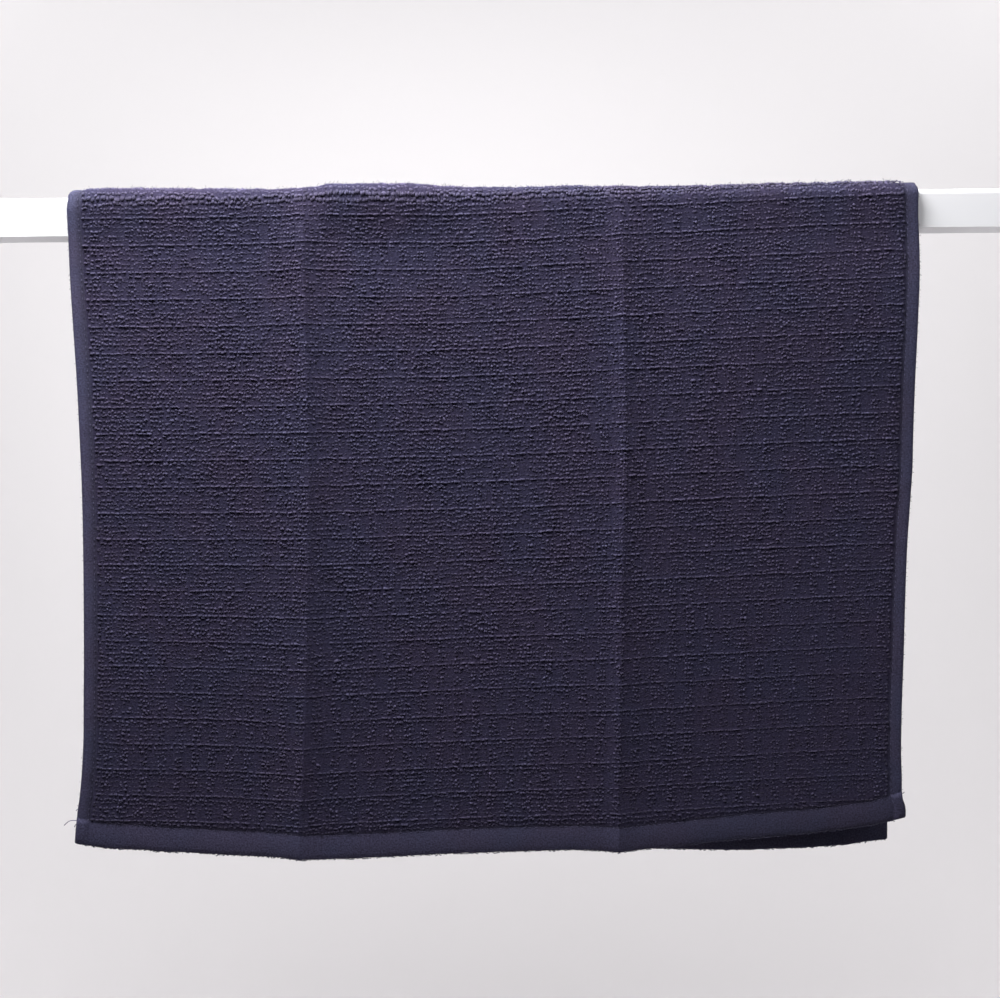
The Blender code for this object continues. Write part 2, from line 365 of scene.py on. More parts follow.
def hem_end(across, side):
    """Distance along the cloth to its hemmed end, which is rounded off at the corners."""
    from_corner = np.minimum(np.minimum(across, TOWEL_WIDTH - across) / CORNER_ROUNDING, 1.0)
    short = CORNER_ROUNDING * (1 - np.sqrt(1 - (1 - np.maximum(from_corner, 0.0)) ** 2))
    return column(HEMS, side, across) + ALONG_LESS_DEPTH - short


def weft_line(across, along):
    """The weft row, as a distance along the cloth before the rows were pulled, at a point."""
    line = along + weft_rise(across, along)
    for _ in range(3):
        line = along + weft_rise(across, line)
    return line


def new_mesh(name, points, faces, material, uv):
    """A smooth mesh with its cloth coordinates, in shares of the flat towel, as its UV map."""
    mesh = bpy.data.meshes.new(name)
    mesh.from_pydata(points.tolist(), [], faces)
    mesh.materials.append(material)
    layer = mesh.uv_layers.new(name="OFBake")
    corner = np.empty(len(mesh.loops), np.int32)
    mesh.loops.foreach_get("vertex_index", corner)
    layer.data.foreach_set("uv", uv[corner].astype(np.float32).ravel())
    mesh.shade_smooth()
    made = bpy.data.objects.new(name, mesh)
    bpy.context.scene.collection.objects.link(made)
    return made


def set_point_values(made, name, values):
    values = np.asarray(values, np.float32)
    made.data.attributes.new(name, "FLOAT", "POINT").data.foreach_set("value", values)


def cloth_columns():
    edge = [0.0, 0.12, 0.45, 1.0, 2.6, 4.8, 6.1, SIDE_HEM, SIDE_HEM + HEM_STEP]
    places = edge + [TOWEL_WIDTH - at for at in edge]
    places += list(np.linspace(edge[-1], TOWEL_WIDTH - edge[-1], 150)[1:-1])
    places += [118.0, 119.8, 120.8, 121.8, 122.8, 123.8, 124.8, 126.2, 291.7, 292.5, 293.3, 294.6]
    return np.array(sorted(places))


def ground_relief(across, line):
    """Height of the cloth at the foot of its loops: a low rib every 14.2 mm."""
    off = (line - FIRST_RIB + RIB_PITCH / 2) % RIB_PITCH - RIB_PITCH / 2
    return GROUND_THICKNESS + 0.12 * np.exp(-((off / 0.9) ** 2)) + 0.1 * np.exp(-(((off - 2.37) / 0.8) ** 2))


def outer_thickness(across, along):
    """Thickness of the cloth at a point: pile ground, hem, and the stitched groove between."""
    end = np.where(along > 0, hem_end(across, "front"), hem_end(across, "back"))
    from_end = end - abs(along)
    from_side = np.minimum(across, TOWEL_WIDTH - across)
    ground = ground_relief(across, weft_line(across, along))
    in_pile = soft_step(0.0, HEM_STEP, from_side - SIDE_HEM) * soft_step(0.0, HEM_STEP, from_end - END_HEM)
    puff = 0.5 * np.sin(pi * np.clip(from_side / SIDE_HEM, 0, 1)) * (from_side < SIDE_HEM)
    puff = puff * (1 + wavering(along, 4, (11.0, 17.0, 31.0), 0.4))
    end_puff = 0.4 * np.sin(pi * np.clip(from_end / END_HEM, 0, 1)) * (from_end < END_HEM)
    puff = puff + end_puff * (1 + wavering(across, 3, (9.0, 14.0, 23.0), 0.6))
    corner = soft_step(0.0, 0.7, SIDE_HEM - from_side) * soft_step(0.0, 0.7, END_HEM - from_end)
    groove = 0.7 * np.exp(-(((from_side - SIDE_HEM - 0.35) / 0.75) ** 2))
    groove = groove * (0.6 + 0.4 * soft_step(-1.0, 1.0, from_end - END_HEM))
    groove = np.maximum(groove, 0.1 * np.exp(-(((from_end - END_HEM - 0.2) / 0.8) ** 2)))
    return (HEM_THICKNESS + puff + CORNER_FOLD * corner) * (1 - in_pile) + ground * in_pile - groove


def build_cloth(materials):
    across = cloth_columns()
    at_hem = [0.0, 0.12, 0.45, 1.0, 3.2, 6.2, 9.2, 12.0, 13.2, END_HEM, END_HEM + HEM_STEP]
    steps = np.array([-5.0, -2.4, -1.2, -0.6, 0.0, 0.6, 1.2, 2.4])

    def pile_rows(side, forward):
        seam = hem_end(across, side) - END_HEM - HEM_STEP
        ribs = np.arange(-30, 31) * RIB_PITCH + FIRST_RIB
        lines = np.sort((ribs[:, None] + steps[None, :]).ravel() * forward)
        rows = [forward * (line * forward - weft_rise(across, line * forward)) for line in lines]
        free = [row for line, row in zip(lines, rows) if line > 0 and (seam - row).min() > 14.0]
        last = free[-1]
        spare = int(round((seam - last).max() / 1.9))
        free += [last + (seam - last) * part / spare for part in range(1, spare)]
        return [forward * row for row in free]

    rows = []
    for side, forward in (("front", 1), ("back", -1)):
        rough = wavering(across, 5 + forward, (2.9, 4.3, 7.1, 17.0), 0.45)
        ends = [
            forward * (hem_end(across, side) - inset + rough * max(0.0, 1 - inset / 3.0))
            for inset in at_hem
        ]
        panel = ends + pile_rows(side, forward)[::-1]
        rows += panel if forward == 1 else panel[::-1]
    rows = np.array(rows)
    count, wide = rows.shape

    flat_across = np.broadcast_to(across, rows.shape)
    ends = np.where(rows > 0, hem_end(flat_across, "front"), hem_end(flat_across, "back"))
    from_edge = np.minimum(np.minimum(flat_across, TOWEL_WIDTH - flat_across), np.maximum(ends - abs(rows), 0.0))
    from_edge[0, :] = from_edge[-1, :] = 0.0
    rounding = np.sqrt(1 - (1 - np.minimum(from_edge / EDGE_ROUNDING, 1.0)) ** 2)
    middle = HEM_THICKNESS / 2
    outer = middle + (outer_thickness(flat_across, rows) - middle) * rounding
    inner = middle * (1 - rounding)

    outer_points = place(flat_across, rows, outer).reshape(-1, 3)
    kept = sorted({1, 2, 3, count - 2, count - 3, count - 4, *range(3, count - 3, 4)})
    inner_points = place(flat_across, rows, inner)[kept][:, 1:-1].reshape(-1, 3)

    def on_outer(i, j):
        return i * wide + j

    def on_inner(i, j):
        return count * wide + i * (wide - 2) + j - 1

    faces, kinds = [], []
    is_hem_column = [min(across[j] + across[j + 1], 2 * TOWEL_WIDTH - across[j] - across[j + 1]) / 2 < SIDE_HEM + HEM_STEP for j in range(wide - 1)]
    at_ends = len(at_hem) - 1
    for i in range(count - 1):
        end_hem = i < at_ends or i >= count - 1 - at_ends
        for j in range(wide - 1):
            faces.append((on_outer(i, j), on_outer(i, j + 1), on_outer(i + 1, j + 1), on_outer(i + 1, j)))
            kinds.append(1 if end_hem or is_hem_column[j] else 0)
    for low, high in zip(range(len(kept)), range(1, len(kept))):
        end_hem = kept[low] < at_ends or kept[low] >= count - 1 - at_ends
        for j in range(1, wide - 2):
            faces.append((on_inner(low, j + 1), on_inner(low, j), on_inner(high, j), on_inner(high, j + 1)))
            kinds.append(1 if end_hem or is_hem_column[j] else 0)
        for j, turn in ((0, 1), (wide - 1, -1)):
            near = 1 if j == 0 else wide - 2
            rim = [on_inner(low, near), *[on_outer(i, j) for i in range(kept[low], kept[high] + 1)], on_inner(high, near)]
            faces.append(rim[::turn])
            kinds.append(1)
    for i, row, turn in ((0, 0, 1), (len(kept) - 1, count - 1, -1)):
        for j in range(1, wide - 2):
            rim = (on_inner(i, j), on_inner(i, j + 1), on_outer(row, j + 1), on_outer(row, j))
            faces.append(rim[::turn])
            kinds.append(1)
        next_row = 1 if row == 0 else count - 2
        for corner, near, side_turn in ((0, 1, 1), (wide - 1, wide - 2, -1)):
            rim = (on_inner(i, near), on_outer(row, near), on_outer(row, corner), on_outer(next_row, corner))
            faces.append(rim[:: turn * side_turn])
            kinds.append(1)

    points = np.concatenate([outer_points, inner_points])
    flat = np.stack([flat_across / TOWEL_WIDTH, rows / FLAT_LENGTH + 0.5], axis=-1)
    uv = np.concatenate([flat.reshape(-1, 2), flat[kept][:, 1:-1].reshape(-1, 2)])
    uv[:, 0] *= 0.495
    uv[count * wide :, 0] = 0.995 - uv[count * wide :, 0]
    made = new_mesh("towel_cloth", points, faces, materials[0], uv)
    made.data.materials.append(materials[1])
    made.data.polygons.foreach_set("material_index", kinds)
    cloth = np.stack([flat_across, rows], axis=-1)
    cloth = np.concatenate([cloth.reshape(-1, 2), cloth[kept][:, 1:-1].reshape(-1, 2)])
    set_point_values(made, "across", cloth[:, 0])
    set_point_values(made, "along", cloth[:, 1])
    from_side = np.minimum(cloth[:, 0], TOWEL_WIDTH - cloth[:, 0])
    end = np.where(cloth[:, 1] > 0, hem_end(cloth[:, 0], "front"), hem_end(cloth[:, 0], "back"))
    above_end_hem = soft_step(-1.0, 0.0, end - abs(cloth[:, 1]) - END_HEM)
    # Painted shade: the side hems darken towards the pile.
    seam = soft_step(2.6, SIDE_HEM, from_side) * above_end_hem
    # Painted shade: the end hems darken towards the right.
    painted_shade_to_right = 0.55 * soft_step(60.0, 430.0, cloth[:, 0]) * (1 - above_end_hem)
    set_point_values(made, "seam", seam + painted_shade_to_right)
    return made


DYE_REDDER = "#FFF5FA"
DYE_BLUER = "#F5F8FF"


def dye_drift(tree, colour):
    """The colour with its drift: the dye took a little redder in some places than in others."""
    at = add_node(tree, "ShaderNodeTexCoord").outputs["Object"]
    cloudy = add_node(tree, "ShaderNodeTexNoise", Vector=at, Scale=1 / (26 * MM), Detail=2.0)
    spread = add_node(
        tree, "ShaderNodeMapRange", Value=cloudy.outputs["Fac"], From_Min=0.36, From_Max=0.64
    )
    tint = add_node(
        tree,
        "ShaderNodeMix",
        {"data_type": "RGBA"},
        _0=spread.outputs["Result"],
        _6=linear(DYE_REDDER),
        _7=linear(DYE_BLUER),
    )
    settings = {"data_type": "RGBA", "blend_type": "MULTIPLY"}
    dyed = add_node(tree, "ShaderNodeMix", settings, _0=1.0, _6=colour, _7=tint.outputs[2])
    return dyed.outputs[2]


# The ground between the loops is dyed cotton in deep shade: nearly black, with no gloss.
terry_ground, tree, shader = new_material("navy cotton, woven terry ground")
shader.inputs["Roughness"].default_value = 0.95
shader.inputs["Specular IOR Level"].default_value = 0.15
across_node = add_node(tree, "ShaderNodeAttribute", {"attribute_name": "across"})
along_node = add_node(tree, "ShaderNodeAttribute", {"attribute_name": "along"})
cloth_at = add_node(
    tree, "ShaderNodeCombineXYZ", X=across_node.outputs["Fac"], Y=along_node.outputs["Fac"]
).outputs["Vector"]
mottle = add_node(tree, "ShaderNodeTexNoise", Vector=cloth_at, Scale=0.9, Detail=3.0)
mottled = add_node(
    tree, "ShaderNodeMapRange", Value=mottle.outputs["Fac"], From_Min=0.32, From_Max=0.68
)
shade = add_node(
    tree,
    "ShaderNodeMix",
    {"data_type": "RGBA"},
    _0=mottled.outputs["Result"],
    _6=linear("#232033"),
    _7=linear("#38354B"),
)
tree.links.new(dye_drift(tree, shade.outputs[2]), shader.inputs["Base Color"])

# The hems are flat plain weave, so they catch more light than the pile and look bluer.  Their
# threads are half a millimetre apart, too fine to show, so the grain is drawn twice as coarse.
HEM_GRAIN = 0.95
plain_weave, tree, shader = new_material("navy cotton, plain-woven hem")
shader.inputs["Roughness"].default_value = 0.85
shader.inputs["Specular IOR Level"].default_value = 0.25
across_node = add_node(tree, "ShaderNodeAttribute", {"attribute_name": "across"})
along_node = add_node(tree, "ShaderNodeAttribute", {"attribute_name": "along"})
cloth_at = add_node(
    tree, "ShaderNodeCombineXYZ", X=across_node.outputs["Fac"], Y=along_node.outputs["Fac"]
).outputs["Vector"]
grain = add_node(
    tree, "ShaderNodeTexNoise", Vector=cloth_at, Scale=1 / HEM_GRAIN, Detail=3.0, Roughness=0.6
)
grainy = add_node(
    tree, "ShaderNodeMapRange", Value=grain.outputs["Fac"], From_Min=0.33, From_Max=0.67
)
shade = add_node(
    tree,
    "ShaderNodeMix",
    {"data_type": "RGBA"},
    _0=grainy.outputs["Result"],
    _6=linear("#28273B"),
    _7=linear("#4A4962"),
)
# The seam value paints shade into the hems, mixing towards a dark violet: along the side hems by the pile, and
# towards the right on the end hems.
seam = add_node(tree, "ShaderNodeAttribute", {"attribute_name": "seam"}).outputs["Fac"]
painted_shade_amount = add_node(tree, "ShaderNodeMath", {"operation": "MULTIPLY"}, _0=seam, _1=0.6)
shade = add_node(
    tree,
    "ShaderNodeMix",
    {"data_type": "RGBA"},
    _0=painted_shade_amount.outputs[0],
    _6=shade.outputs[2],
    _7=linear("#242132"),
)
tree.links.new(dye_drift(tree, shade.outputs[2]), shader.inputs["Base Color"])
bumpy = add_node(tree, "ShaderNodeBump", Height=grain.outputs["Fac"], Strength=0.6, Distance=0.35 * MM)
tree.links.new(bumpy.outputs["Normal"], shader.inputs["Normal"])

towel_cloth = build_cloth([terry_ground, plain_weave])
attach(towel_cloth, "root")


# The pile: rows of small cotton loops, 2.4 mm apart.  Every sixth row is a rib of tight, taller
# loops, the next one is nearly as full, and between the ribs clumps of loops stand beside small
# sunken squares where the loops lie flat.  The squares are plainer low on the towel.
ROWS_IN_REPEAT = 6
ROW_PITCH = RIB_PITCH / ROWS_IN_REPEAT
BLOCK_WIDTHS = (9.0, 10.3)
CLUMP_SHARE = 0.48
CLUMP_LOOPS = (2, 3, 3, 4)  # how many loops fill a clump, one count drawn for each
SQUARE_LOOPS = (2, 3, 3, 3)
LOOP_FOOT = 0.3  # how deep a loop's foot sits in the ground

# One row of the repeat: how high its loops stand in a clump and in a square, how far they spread
# sideways, and half their height along the cloth.
PileRow = namedtuple("PileRow", "in_clump in_square spread half_height")
PILE_ROWS = [
    PileRow(0.76, 0.72, 1.20, 0.80),
    PileRow(0.70, 0.56, 1.06, 0.86),
    PileRow(0.72, 0.30, 1.02, 0.92),
    PileRow(0.78, 0.18, 1.00, 0.94),
    PileRow(0.78, 0.16, 1.00, 0.94),
    PileRow(0.68, 0.26, 1.00, 0.88),
]


def drift(across, line, seed, lengths, most):
    """A smooth field over the cloth: slanting waves of a few lengths with drawn phases."""
    draw = np.random.default_rng(seed)
    total = 0.0
    for length in lengths:
        way, phase = draw.uniform(0, 2 * pi), draw.random()
        total = total + np.sin(2 * pi * ((across * np.cos(way) + line * np.sin(way)) / length + phase))
    return total * most / len(lengths) ** 0.5


def block_edges(draw):
    edges = [SIDE_HEM + HEM_STEP - 6.0]
    while edges[-1] < TOWEL_WIDTH:
        edges.append(edges[-1] + draw.uniform(*BLOCK_WIDTHS))
    return np.array(edges)


def row_of_loops(draw, edges):
    """Middles and widths of one row's loops, and which of them lie in a sunken square."""
    cuts, sunk = [edges[0]], []
    for start, end in zip(edges[:-1], edges[1:]):
        middle = start + (end - start) * (CLUMP_SHARE + draw.normal(0, 0.025))
        for low, high, counts, flat in ((start, middle, CLUMP_LOOPS, 0), (middle, end, SQUARE_LOOPS, 1)):
            count = counts[draw.integers(len(counts))]
            parts = np.arange(1, count + 1) + np.append(draw.uniform(-0.24, 0.24, count - 1), 0.0)
            cuts += list(low + (high - low) * parts / count)
            sunk += [flat] * count
    cuts = np.array(cuts)
    return (cuts[1:] + cuts[:-1]) / 2, np.diff(cuts), np.array(sunk, float)


def pile_loops():
    """Every loop as (across, line, half width, half height, stand, turn, tone)."""
    draw = np.random.default_rng(17)
    edges = block_edges(draw)
    low, high = SIDE_HEM + HEM_STEP + 0.3, TOWEL_WIDTH - SIDE_HEM - HEM_STEP - 0.3
    loops = []
    for row in range(-160, 165):
        kind = PILE_ROWS[row % ROWS_IN_REPEAT]
        rib = row % ROWS_IN_REPEAT == 0
        at, widths, sunk = row_of_loops(draw, edges)
        line = np.full(len(at), FIRST_RIB + row * ROW_PITCH)
        at = at + drift(at, line, 43, (37.0, 59.0), 0.5) + draw.normal(0, 0.45 if rib else 0.22, len(at))
        inside = (at - widths / 2 > low - 0.6) & (at + widths / 2 < high + 0.6)
        at, widths, sunk, line = at[inside], widths[inside], sunk[inside], line[inside]
        count = len(at)
        plain = 0.2 + drift(at, line, 40, (130.0, 70.0, 41.0, 23.0), 0.4)
        plain = plain + 0.4 * soft_step(120, 320, line) + 0.25 * soft_step(180, 430, at)
        plain = plain + 0.25 * soft_step(250, 330, line)
        plain = np.clip(plain, 0.08, 0.95)
        in_square = kind.in_clump + (kind.in_square - kind.in_clump) * plain
        tall = (kind.in_clump + (in_square - kind.in_clump) * sunk) * draw.uniform(0.62, 1.25, count)
        tall = tall * (1 + drift(at, line, 41, (9.0, 14.0, 23.0, 37.0, 61.0), 0.2))
        tall = tall * (1 - (0.22 + 0.18 * soft_step(200, 430, at)) * soft_step(80, 330, line))
        tall = tall * (1 - 0.14 * soft_step(260, 420, at))
        if rib:
            tall = tall * (1 - 0.15 * soft_step(150, 330, line))
        beside = crease_side(at, line)
        pulled = draw.random(count) < 0.06
        tall = tall * (1 - 0.5 * np.exp(-(((abs(line) - 8.0) / 8.0) ** 2)))
        tall = tall * np.where(pulled, 0.25, 1.0) * (1 - 0.35 * np.maximum(-beside, 0))
        line = line + drift(at, line, 42, (7.0, 11.0, 17.0, 29.0), 0.12 if rib else 0.28)
        line = line + wavering(at, 1000 + row, (19.0, 43.0), 0.18)
        line = line + draw.normal(0, 0.13 if rib else 0.36, count)
        half = widths / 2 * kind.spread * draw.uniform(0.9, 1.12, count)
        half_height = kind.half_height * draw.uniform(0.75, 1.2, count)
        turn = draw.normal(0, 0.1 if rib else 0.42, count)
        # Tone is partly random and partly painted light: loops just left of a crease's crest lighter and just
        # right of it darker, rib loops a little lighter, and loops over the top bend and on the back panel
        # lighter, fading out 60 mm down the front.
        tone_and_painted_light = draw.random(count) + 0.4 * beside + (0.05 if rib else -0.05)
        tone_and_painted_light = tone_and_painted_light + 0.25 * (1 - soft_step(5, 60, line))
        loops.append(np.stack([at, line, half, half_height, tall, turn, tone_and_painted_light], axis=-1))
    return np.concatenate(loops)


# One loop seen from above: an oval foot of six points and a crown of two, which leans up the
# cloth so that its underside stays in shade.
LOOP_POINTS = np.array(
    [
        (-1.0, 0.0, 0.0),
        (-0.5, 0.95, 0.0),
        (0.5, 0.95, 0.0),
        (1.0, 0.0, 0.0),
        (0.5, -0.95, 0.0),
        (-0.5, -0.95, 0.0),
        (-0.62, -0.3, 1.0),
        (0.62, -0.3, 1.0),
    ]
)
LOOP_FACES = np.array(
    [(0, 6, 1), (1, 6, 7), (1, 7, 2), (2, 7, 3), (3, 7, 4), (4, 7, 6), (4, 6, 5), (5, 6, 0)]
)


def build_pile(name, loops, uphill, material):
    across, line, half, half_height, tall, turn, tone_and_painted_light = loops.T
    du = LOOP_POINTS[:, 0][None, :] * half[:, None]
    dv = -LOOP_POINTS[:, 1][None, :] * half_height[:, None] * uphill
    at_across = across[:, None] + du * np.cos(turn)[:, None] - dv * np.sin(turn)[:, None]
    at_line = line[:, None] + du * np.sin(turn)[:, None] + dv * np.cos(turn)[:, None]
    along = at_line - weft_rise(at_across, at_line)
    ground = outer_thickness(across, line - weft_rise(across, line))[:, None]
    thickness = ground + LOOP_POINTS[:, 2][None, :] * (tall + LOOP_FOOT)[:, None] - LOOP_FOOT
    points = place(at_across, along, thickness).reshape(-1, 3)
    faces = (np.arange(len(loops))[:, None, None] * len(LOOP_POINTS) + LOOP_FACES[None]).reshape(-1, 3)
    corner = points[faces]
    facing = np.cross(corner[:, 1] - corner[:, 0], corner[:, 2] - corner[:, 0])[:, 1]
    if facing.sum() * uphill > 0:
        faces = faces[:, ::-1]
    uv = np.stack([at_across / TOWEL_WIDTH, along / FLAT_LENGTH + 0.5], axis=-1).reshape(-1, 2)
    made = new_mesh(name, points, faces.tolist(), material, uv)
    # Each point's crown value sets how far its colour goes from the dark foot colour to the lit colour: painted
    # shade, darkest at the foot and on short loops.
    crown = np.broadcast_to(LOOP_POINTS[:, 2][None, :], along.shape)
    set_point_values(made, "crown", (crown * np.clip(tall / 0.65, 0.35, 1.15)[:, None]).ravel())
    set_point_values(made, "tone_and_painted_light", np.repeat(tone_and_painted_light, len(LOOP_POINTS)))
    return made


# Cotton loops are matt; their crowns are a dusty navy, and towards their feet the colour goes to a dark violet:
# painted shade where the loops crowd into the ground.
terry_loops, tree, shader = new_material("navy cotton, looped terry pile")
shader.inputs["Roughness"].default_value = 0.9
shader.inputs["Specular IOR Level"].default_value = 0.2
shader.inputs["Sheen Weight"].default_value = 0.15
shader.inputs["Sheen Roughness"].default_value = 0.5
crown = add_node(tree, "ShaderNodeAttribute", {"attribute_name": "crown"}).outputs["Fac"]
tone_and_painted_light = add_node(tree, "ShaderNodeAttribute", {"attribute_name": "tone_and_painted_light"}).outputs["Fac"]
at = add_node(tree, "ShaderNodeTexCoord").outputs["Object"]
lying = add_node(tree, "ShaderNodeMapping", Vector=at, Scale=(0.55, 1.0, 1.0)).outputs["Vector"]
streaks = add_node(tree, "ShaderNodeTexNoise", Vector=lying, Scale=1 / (1.1 * MM), Detail=3.0, Roughness=0.65)
streaky = add_node(
    tree,
    "ShaderNodeMapRange",
    Value=streaks.outputs["Fac"],
    From_Min=0.32,
    From_Max=0.68,
)
uneven = add_node(
    tree, "ShaderNodeMath", {"operation": "MULTIPLY_ADD"}, _0=tone_and_painted_light, _1=0.4, _2=0.0
)
mixed = add_node(
    tree,
    "ShaderNodeMath",
    {"operation": "MULTIPLY_ADD"},
    _0=streaky.outputs["Result"],
    _1=0.6,
    _2=uneven.outputs[0],
)
lit = add_node(
    tree,
    "ShaderNodeMix",
    {"data_type": "RGBA"},
    _0=mixed.outputs[0],
    _6=linear("#312D42"),
    _7=linear("#6B6785"),
)
risen = add_node(tree, "ShaderNodeMath", {"operation": "POWER"}, _0=crown, _1=0.6)
shade = add_node(
    tree,
    "ShaderNodeMix",
    {"data_type": "RGBA"},
    _0=risen.outputs[0],
    _6=linear("#272437"),
    _7=lit.outputs[2],
)
tree.links.new(dye_drift(tree, shade.outputs[2]), shader.inputs["Base Color"])

loops = pile_loops()
along_of = loops[:, 1] - weft_rise(loops[:, 0], loops[:, 1])
end_of = np.where(along_of > 0, hem_end(loops[:, 0], "front"), hem_end(loops[:, 0], "back"))
edge_draw = np.random.default_rng(23)
clear = end_of - abs(along_of) > END_HEM - 0.3 + edge_draw.uniform(-0.9, 0.9, len(loops))
from_side = np.minimum(loops[:, 0], TOWEL_WIDTH - loops[:, 0]) - SIDE_HEM
from_hem = np.minimum(from_side, end_of - abs(along_of) - END_HEM)
loops[:, 4] *= 0.5 + 0.5 * soft_step(0.0, 4.0, from_hem)
loops, along_of = loops[clear], along_of[clear]
for side, forward in (("front", 1), ("back", -1)):
    for half, low, high in (("left", 0, TOWEL_WIDTH / 2), ("right", TOWEL_WIDTH / 2, TOWEL_WIDTH)):
        chosen = (along_of * forward > 0) & (loops[:, 0] >= low) & (loops[:, 0] < high)
        piece = build_pile(f"pile_{side}_{half}", loops[chosen], forward, terry_loops)
        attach(piece, "root")

# The sewing thread and the loose fibres: small stitches hold the hems down, short fibres stand
# out of the pile and the hems' edges, and a few thread ends were left long at the lower corners.
STITCH_PITCH = 3.2
STITCH_LENGTH = 1.5
THREAD_RADIUS = 0.18
FIBRE_RADIUS = 0.08
FIBRE_LENGTHS = (0.5, 1.7)
FIBRES_ON_PILE = 2800
FIBRES_ON_BEND = 1500
FIBRES_ON_EDGES = 2400


def build_strands(name, across, along, thickness, radius, material):
    """Thin round threads; each row of the three tables is one thread's way through the cloth."""
    way = place(across, along, thickness)
    count, steps, _ = way.shape
    heading = np.gradient(way, axis=1)
    heading /= np.linalg.norm(heading, axis=2, keepdims=True)
    side = np.cross(heading, (0.31, 0.52, 0.8))
    side /= np.linalg.norm(side, axis=2, keepdims=True)
    up = np.cross(heading, side)
    turn = np.arange(3) * 2 * pi / 3
    ring = side[:, :, None] * np.cos(turn)[:, None] + up[:, :, None] * np.sin(turn)[:, None]
    points = (way[:, :, None] + ring * radius * MM).reshape(-1, 3)
    first = np.arange(count)[:, None] * steps * 3
    faces = []
    for step in range(steps - 1):
        for k in range(3):
            near, far = step * 3, step * 3 + 3
            faces.append(first + np.array([near + k, near + (k + 1) % 3, far + (k + 1) % 3, far + k]))
    quads = np.concatenate(faces).tolist()
    caps = np.concatenate([first + np.array([2, 1, 0]), first + (steps - 1) * 3 + np.array([0, 1, 2])])
    flat = np.stack([across / TOWEL_WIDTH * 0.99 + 0.005, along / FLAT_LENGTH + 0.5], axis=-1)
    uv = np.clip(np.repeat(flat, 3, axis=1).reshape(-1, 2), 0.0, 1.0)
    return new_mesh(name, points, quads + caps.tolist(), material, uv)


spun_thread, tree, shader = new_material("navy cotton, spun sewing thread")
shader.inputs["Base Color"].default_value = linear("#4C4963")
shader.inputs["Roughness"].default_value = 0.8
shader.inputs["Specular IOR Level"].default_value = 0.3

draw = np.random.default_rng(61)
seams = []
for side in ("front", "back"):
    forward = 1 if side == "front" else -1
    for edge, inwards in ((0.0, 1.0), (TOWEL_WIDTH, -1.0)):
        length = float(hem_end(np.array(edge), side))
        at = np.arange(0.5 * STITCH_PITCH, length - 1.5, STITCH_PITCH)
        seams.append((np.full(len(at), edge + inwards * (SIDE_HEM - 0.5)), forward * at, 0.0, forward))
    at = np.arange(SIDE_HEM + 1.0, TOWEL_WIDTH - SIDE_HEM - 1.0, STITCH_PITCH)
    seams.append((at, forward * (hem_end(at, side) - END_HEM + 0.7), 1.0, forward))
rows = []
for at_across, at_along, sideways, forward in seams:
    reach = np.array([-0.5, -0.28, 0.28, 0.5]) * STITCH_LENGTH
    lean = draw.normal(0, 0.05, (len(at_across), 1)) * reach
    stitch_across = at_across[:, None] + reach * sideways + lean * (1 - sideways)
    stitch_along = at_along[:, None] + reach * (1 - sideways) * forward + lean * sideways
    rows.append((stitch_across, stitch_along))
stitch_across = np.concatenate([row[0] for row in rows])
stitch_along = np.concatenate([row[1] for row in rows])
stitch_rise = outer_thickness(stitch_across, stitch_along) + np.array([-0.3, 0.08, 0.08, -0.3])
stitches = build_strands(
    "hem_stitches", stitch_across, stitch_along, stitch_rise, THREAD_RADIUS, spun_thread
)

# Fibres: on the pile, crowded where the cloth bends over the rail, and out of the hems' edges.
cotton_fibre, tree, shader = new_material("navy cotton, loose fibres")
shader.inputs["Base Color"].default_value = linear("#48455C")
shader.inputs["Roughness"].default_value = 0.9
shader.inputs["Specular IOR Level"].default_value = 0.2
steps = np.array([0.0, 0.6, 1.0])
reach_front = float(hem_end(np.array(225.0), "front")) - END_HEM - 16
reach_back = float(hem_end(np.array(225.0), "back")) - END_HEM - 16
root_across = draw.uniform(SIDE_HEM + 1, TOWEL_WIDTH - SIDE_HEM - 1, FIBRES_ON_PILE + FIBRES_ON_BEND)
root_along = np.concatenate(
    [draw.uniform(-reach_back, reach_front, FIBRES_ON_PILE), draw.uniform(-14.0, 16.0, FIBRES_ON_BEND)]
)
count = len(root_across)
long = draw.uniform(*FIBRE_LENGTHS, count)
way = draw.uniform(0, 2 * pi, count)
lying = long * draw.uniform(0.2, 0.9, count)
pile_fibres = (
    root_across[:, None] + (lying * np.cos(way))[:, None] * steps**2,
    root_along[:, None] + (lying * np.sin(way))[:, None] * steps**2,
    GROUND_THICKNESS + 0.35 + (long * 0.8)[:, None] * steps,
)
count = FIBRES_ON_EDGES
which = draw.random(count)
long = draw.uniform(0.3, 1.0, count)
slant = draw.normal(0, 0.35, count)
at = draw.uniform(0.5, TOWEL_WIDTH - 0.5, count)
end_front, end_back = hem_end(at, "front") - 0.25, hem_end(at, "back") - 0.25
down = draw.uniform(-1, 1, count)
edge_side = np.where(at > TOWEL_WIDTH / 2, 1.0, -1.0)
edge = np.where(edge_side > 0, TOWEL_WIDTH, 0.0)
side_along = down * (np.where(down > 0, hem_end(edge, "front"), hem_end(edge, "back")) - 2.0)
on_end = which < 0.55
root_across = np.where(on_end, at, np.where(edge_side > 0, TOWEL_WIDTH - 0.2, 0.2))
root_along = np.where(on_end, np.where(which < 0.35, end_front, -end_back), side_along)
out_across = np.where(on_end, slant, edge_side) * long
out_along = np.where(on_end, np.where(which < 0.35, 1.0, -1.0), slant) * long
edge_fibres = (
    root_across[:, None] + out_across[:, None] * steps,
    root_along[:, None] + out_along[:, None] * steps,
    1.0 + draw.uniform(-0.6, 0.8, count)[:, None] + draw.normal(0, 0.25, count)[:, None] * steps**2,
)
fluff = build_strands(
    "cotton_fluff",
    *[np.concatenate([a, b]) for a, b in zip(pile_fibres, edge_fibres)],
    FIBRE_RADIUS,
    cotton_fibre,
)

